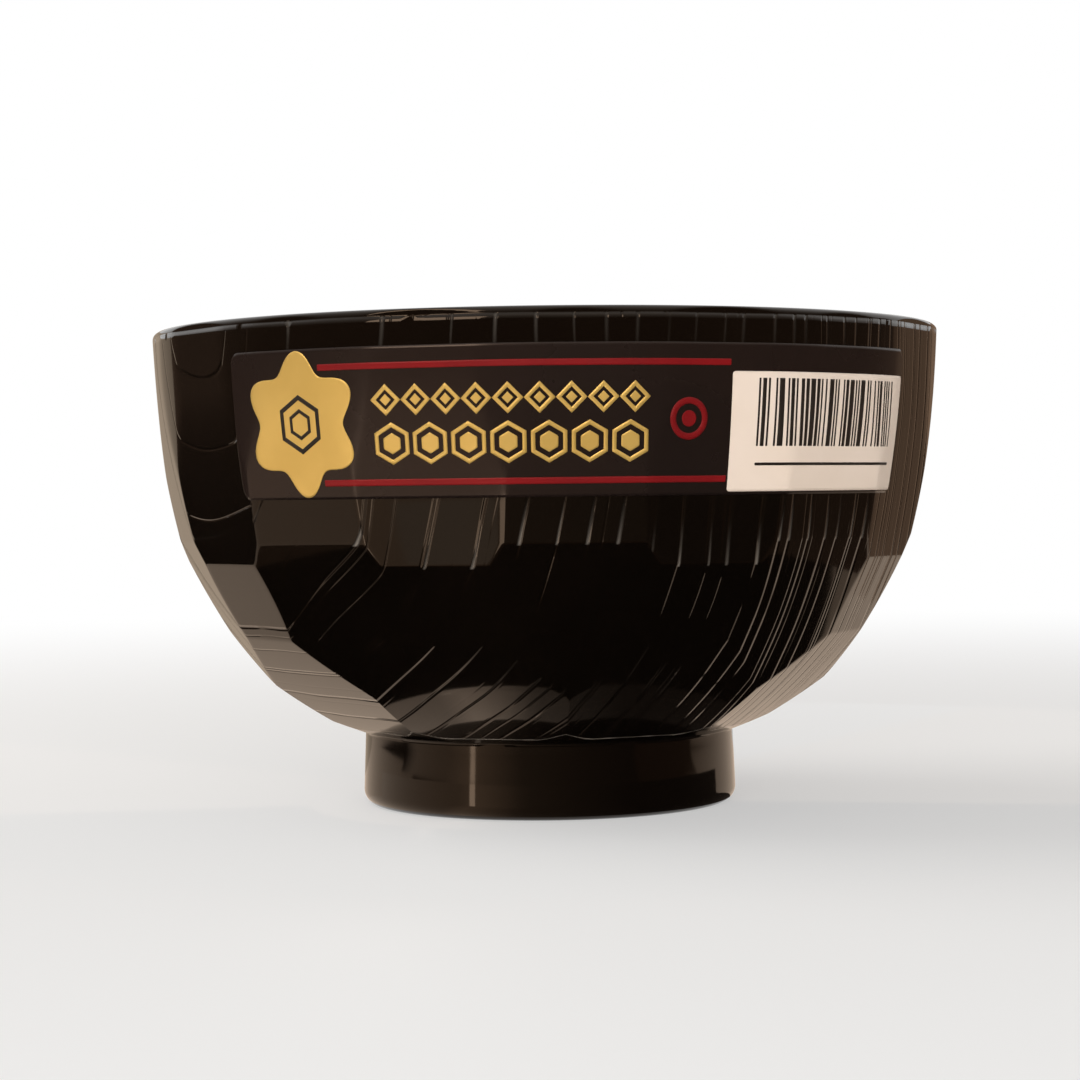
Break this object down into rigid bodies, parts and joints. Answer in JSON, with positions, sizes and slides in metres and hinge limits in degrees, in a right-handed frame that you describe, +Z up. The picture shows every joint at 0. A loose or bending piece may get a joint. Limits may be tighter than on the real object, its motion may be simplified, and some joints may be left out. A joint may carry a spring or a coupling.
{
  "type": "soup bowl",
  "caption": "Round soup bowl in gloss black resin, with tortoise-shell facets outside, a smooth inside, a plain foot ring to stand on and a printed film label stuck on below the rim.",
  "frame": {"origin": "centre of the foot ring's base, on the bowl's axis", "axes": "+Z up along the bowl's axis, -Y towards the label's side, +X to the right as the label is faced"},
  "size_m": [0.11, 0.1099, 0.0662],
  "materials": {
    "black_resin": "gloss black lacquer-like resin with fine wood-grain grooves outside",
    "black_film": "semi-gloss black printed film",
    "gold_foil": "satin gold foil print",
    "white_ink": "opaque warm white print",
    "red_ink": "red print"
  },
  "bodies": {
    "root": {"bowl_body": "black_resin", "label_film": "black_film", "gold_badge": "gold_foil", "white_panel": "white_ink", "upper_rule": "red_ink", "lower_rule": "red_ink"}
  },
  "joints": []
}
